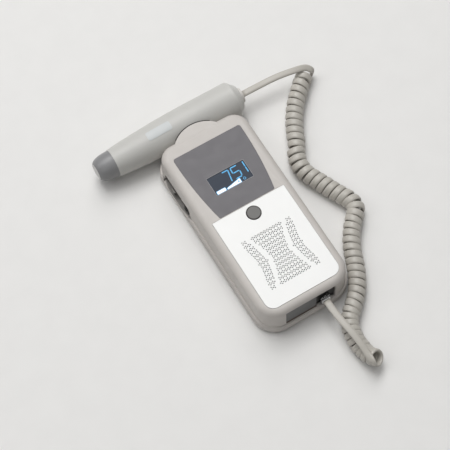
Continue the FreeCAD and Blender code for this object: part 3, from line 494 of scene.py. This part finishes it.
def cord_mesh(name, centre, guide, widths):
    """Flat oval cord swept along its middle, its thin side toward the guide, with flat ends."""
    mesh = bmesh.new()
    rings = []
    for k, point in enumerate(centre):
        ahead = (centre[min(k + 1, len(centre) - 1)] - centre[max(k - 1, 0)]).normalized()
        outward = guide[k] - point
        outward = (outward - ahead * outward.dot(ahead)).normalized()
        across = ahead.cross(outward)
        rings.append([mesh.verts.new(point + across * mm(a) + outward * mm(o))
                      for a, o in section(widths[k], CORD_THICK, CORD_SIDES)])
    for a, b in zip(rings, rings[1:]):
        for k in range(CORD_SIDES):
            n = (k + 1) % CORD_SIDES
            mesh.faces.new((a[k], a[n], b[n], b[k])).smooth = True
    mesh.faces.new(list(reversed(rings[0])))
    mesh.faces.new(rings[-1])
    bmesh.ops.recalc_face_normals(mesh, faces=mesh.faces)
    return finished(name, mesh)


def finished(name, mesh):
    """Object from a bmesh, linked to the scene."""
    data = bpy.data.meshes.new(name)
    mesh.to_mesh(data)
    mesh.free()
    piece = bpy.data.objects.new(name, data)
    bpy.context.scene.collection.objects.link(piece)
    return piece


def make_cord():
    """The whole cord as one flat oval, from the gland through the curly stretch to the plug."""
    curl = curl_points()
    near = lead_points(PROBE_LEAD[::-1], curl[0], PROBE_FACING)[::-1]
    route = near + curl + lead_points(PLUG_LEAD, curl[-1], PLUG_FACING)
    centre = spline_points([place for place, _, _ in route], SPLINE_STEPS)
    guide = spline_points([place + outward * mm(GUIDE) for place, outward, _ in route], SPLINE_STEPS)
    wide = list(enumerate(width for _, _, width in route))
    widths = [between(wide, k * (len(route) - 1) / (len(centre) - 1)) for k in range(len(centre))]
    cord = cord_mesh("curly_cord", centre, guide, widths)
    jacket = moulded("cord_jacket", linear(184, 180, 172), 0.42, grain=4200.0, depth=0.02, mottle=0.02,
                     wear=0.0, specular=0.5)
    cord.data.materials.append(jacket)
    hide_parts("cord_probe_lead", "cord_coil", "cord_plug_lead")
    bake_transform(cord)


# ---------------------------------------------------------------- display figures
VIEW_TOP = box_mm("display_window")[1][2]
FIGURE_LIFT = 0.02                  # height of the lit figures above the window
FIGURE_THICK = 0.12
EDGE_THICK = 0.06                   # of the blue edges round the two pale marks
DOT_THICK = 0.05                    # of the blue dot on the wedge
RING_MARK = (8.9, 26.5, 0.95)       # middle and radius of the small ring beside the wedge
RING_STROKES = 9
BLUE = glowing("figure_blue", linear(70, 158, 208), 0.3)
PALE = glowing("figure_pale", linear(236, 240, 244), 0.35)


def on_circle(cx, cy, radius, angle):
    """Point of a circle, the angle in radians."""
    return cx + radius * math.cos(angle), cy + radius * math.sin(angle)


def flat_piece(name, outlines, material, z=VIEW_TOP + FIGURE_LIFT, thick=FIGURE_THICK):
    """Thin raised pieces from closed outlines of (x, y) in millimetres, as one object."""
    mesh = bmesh.new()
    for outline in outlines:
        low = [mesh.verts.new(mm(x, y, z)) for x, y in outline]
        high = [mesh.verts.new(mm(x, y, z + thick)) for x, y in outline]
        mesh.faces.new(high)
        mesh.faces.new(list(reversed(low)))
        for k in range(len(outline)):
            n = (k + 1) % len(outline)
            mesh.faces.new((low[k], low[n], high[n], high[k]))
    bmesh.ops.recalc_face_normals(mesh, faces=mesh.faces)
    piece = finished(name, mesh)
    piece.data.materials.append(material)
    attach(piece, "root")
    return piece


def stroke(x0, y0, x1, y1, width=0.88, cut=0.3):
    """Segment of a figure: a bar with pointed ends."""
    a, b = Vector((x0, y0)), Vector((x1, y1))
    along = (b - a).normalized()
    across = Vector((-along.y, along.x)) * width / 2
    return [tuple(p) for p in (a + along * cut + across, a, a + along * cut - across,
                               b - along * cut - across, b, b - along * cut + across)]


def rounded_bar(x0, x1, y0, y1, radius, steps=5):
    """Outline of a rectangle with round corners."""
    points = []
    for cx, cy, start in ((x1 - radius, y1 - radius, 0), (x0 + radius, y1 - radius, 90),
                          (x0 + radius, y0 + radius, 180), (x1 - radius, y0 + radius, 270)):
        for k in range(steps + 1):
            points.append(on_circle(cx, cy, radius, math.radians(start + 90 * k / steps)))
    return points


def disc(cx, cy, radius, steps=24):
    """Outline of a circle."""
    return [on_circle(cx, cy, radius, 2 * math.pi * k / steps) for k in range(steps)]


def make_figures():
    """Lit figures of the display, with a bar, a wedge and a small ring below them."""
    seven = [stroke(-3.3, 38.45, 1.6, 38.45), stroke(1.6, 38.4, 0.8, 33.5),
             stroke(0.75, 33.5, -0.05, 28.9)]
    five = [stroke(3.6, 38.55, 8.9, 38.55), stroke(3.75, 38.3, 3.5, 34.0), stroke(3.8, 33.95, 8.8, 33.95),
            stroke(9.1, 33.6, 8.6, 29.5), stroke(3.6, 29.1, 8.5, 29.1)]
    one = [stroke(14.2, 39.1, 14.1, 34.3), stroke(14.1, 34.2, 14.0, 29.4)]
    flat_piece("figures", seven + five + one, BLUE)
    bar_edge = rounded_bar(-14.7, -6.8, 24.55, 27.65, 0.8)
    wedge_edge = [(-6.4, 26.2), (-6.4, 24.7), (5.5, 24.55), (6.0, 24.9), (6.0, 28.3), (5.4, 28.7)]
    flat_piece("level_edges", [bar_edge, wedge_edge], BLUE, thick=EDGE_THICK)
    bar = rounded_bar(-14.3, -7.2, 24.9, 27.3, 0.5)
    wedge = [(-6.0, 25.9), (-6.0, 25.0), (5.3, 24.9), (5.6, 25.2), (5.6, 28.0), (5.2, 28.3)]
    flat_piece("level_marks", [bar, wedge], PALE)
    flat_piece("level_dot", [disc(4.0, 26.5, 0.65)], BLUE, VIEW_TOP + FIGURE_LIFT + FIGURE_THICK,
               DOT_THICK)
    ring = []
    for k in range(RING_STROKES):
        angle = 2 * math.pi * k / RING_STROKES
        ring.append(stroke(*on_circle(*RING_MARK, angle), *on_circle(*RING_MARK, angle + 0.7), 0.4, 0.05))
    flat_piece("ring_mark", ring, BLUE)


# ---------------------------------------------------------------- small trim
SUNK = 0.05                         # how deep a raised rim reaches into the face that carries it
VIEW = (-15.4, 15.4, 24.6, 39.8)    # left, right, bottom and top of the display's opening
RING_RADII = (5.26, 4.75)           # of the dark ring on the button's face
RING_RISE = 0.04
TAIL = (8.4, 13.8, 17.0, 19.8)      # left, right, bottom and top of the plug's tail
COLLAR_DEPTH = 0.55                 # how far the collar round the tail reaches out of the plug
LIP = (-2.5, 59.4, 24.6)            # middle and radius of the crescent lip
LIP_ARC = (56.0, 128.0)             # where its painted shadow strip runs, in degrees
LIP_STEPS = 40
# sizes of the dark strip that paints the shadow in the gap between the lip and the probe
LIP_SHADOW_SUNK = 0.02
LIP_SHADOW_WIDTH = 0.8
LIP_SHADOW_FOOT = 27.7
LIP_SHADOW_HEIGHT = 1.72
FOOT_HEIGHT = 1.8                   # height of the brown line, a painted shadow in the gap along the foot of the smoked panel
FOOT_THICK = 0.12
END_LEAN = 0.0758                   # how much the cord end leans in for each unit of height


def ring_piece(name, outer, inner, low, high, place, material, body="root"):
    """Raised rim between two outlines with as many points, from low to high; place puts a point of it."""
    mesh = bmesh.new()
    rows = [[mesh.verts.new(place(u, v, w)) for u, v in outline]
            for outline, w in ((outer, low), (outer, high), (inner, high), (inner, low))]
    count = len(outer)
    for a, b in zip(rows, rows[1:] + rows[:1]):
        for k in range(count):
            n = (k + 1) % count
            mesh.faces.new((a[k], a[n], b[n], b[k]))
    bmesh.ops.recalc_face_normals(mesh, faces=mesh.faces)
    piece = finished(name, mesh)
    piece.data.materials.append(material)
    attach(piece, body)


def grown(x0, x1, y0, y1, by, radius):
    """Outline of a rectangle with round corners, grown by so much to each side."""
    return rounded_bar(x0 - by, x1 + by, y0 - by, y1 + by, radius)


def upright(x, z, y):
    """Point of an outline that stands across Y."""
    return mm(x, y, z)


def make_window_frame():
    """Pale line round the display's opening."""
    top = box_mm("display_overlay")[1][2]
    look = moulded("frame_line", linear(150, 149, 151), 0.5, grain=5200.0, depth=0.004)
    ring_piece("window_frame", grown(*VIEW, 0.28, 0.3), grown(*VIEW, 0.02, 0.1), top - SUNK, top + SUNK,
               mm, look)


def make_button_ring():
    """Dark ring along the edge of the button's face."""
    low, high = box_mm("power_button")
    middle = (low[1] + high[1]) / 2
    outer, inner = (disc(0.0, middle, radius, 48) for radius in RING_RADII)
    look = moulded("ring_dark", linear(70, 68, 65), 0.6, grain=5200.0, depth=0.01)
    ring_piece("button_ring", outer, inner, high[2] - SUNK, high[2] + RING_RISE, mm, look,
               "button")


def make_plug_collar():
    """Pale collar round the plug's tail, a painted highlight on the clear plug's rim."""
    end = box_mm("cord_plug")[0][1]
    look = moulded("collar_painted_highlight", linear(226, 226, 224), 0.2, grain=900.0, depth=0.004, coat=0.5)
    ring_piece("plug_collar", grown(*TAIL, 0.75, 1.1), grown(*TAIL, -0.1, 0.9), end, end - COLLAR_DEPTH,
               upright, look)


def make_lip_shadow():
    """Dark strip along the crescent lip: a painted shadow in the gap between the lip and the probe."""
    x, y, radius = LIP
    start, end = LIP_ARC
    arc = [math.radians(start + (end - start) * k / LIP_STEPS) for k in range(LIP_STEPS + 1)]
    near = [on_circle(x, y, radius - LIP_SHADOW_SUNK, a) for a in arc]
    far = [on_circle(x, y, radius + LIP_SHADOW_WIDTH, a) for a in reversed(arc)]
    look = moulded("lip_painted_shadow", linear(52, 50, 48), 0.7, grain=3600.0, depth=0.01)
    flat_piece("lip_shadow_strip", [near + far], look, LIP_SHADOW_FOOT, LIP_SHADOW_HEIGHT)


def make_panel_shadow_line():
    """Brown line along the foot of the smoked panel, a painted shadow in the gap there, leaning with the
    cord end.
    """
    low, high = box_mm("end_window")
    outline = rounded_bar(low[0], high[0], low[2], low[2] + FOOT_HEIGHT, 0.1)
    look = moulded("foot_shadow_line", linear(74, 54, 42), 0.5, grain=5200.0, depth=0.004)
    strip = flat_piece("panel_foot_shadow", [outline], look, 0.0, FOOT_THICK)
    for vertex in strip.data.vertices:
        x, y, z = vertex.co
        vertex.co = (x, mm(low[1]) - z + (y - mm(low[2])) * END_LEAN, y)


# ---------------------------------------------------------------- floor
def make_floor():
    """Warm white paper under the part."""
    mesh = bmesh.new()
    bmesh.ops.create_grid(mesh, x_segments=2, y_segments=2, size=FLOOR_SIZE)
    floor = finished("floor", mesh)
    floor.location = (0, 0, -FLOOR_DROP)
    s = Shader("paper")
    s.link(s.blend(s.spread(s.noise(60.0), 0.0, 1.0), linear(229, 228, 226), linear(231, 230, 228)),
           "Base Color")
    s.surface.inputs["Roughness"].default_value = 0.75
    s.surface.inputs["Specular IOR Level"].default_value = 0.25
    floor.data.materials.append(s.material)


# ---------------------------------------------------------------- scene
make_camera()
make_cord()
make_light()
make_floor()
for node_name, look in LOOKS.items():
    dress(node_name, look)
make_figures()
make_window_frame()
make_button_ring()
make_plug_collar()
make_lip_shadow()
make_panel_shadow_line()
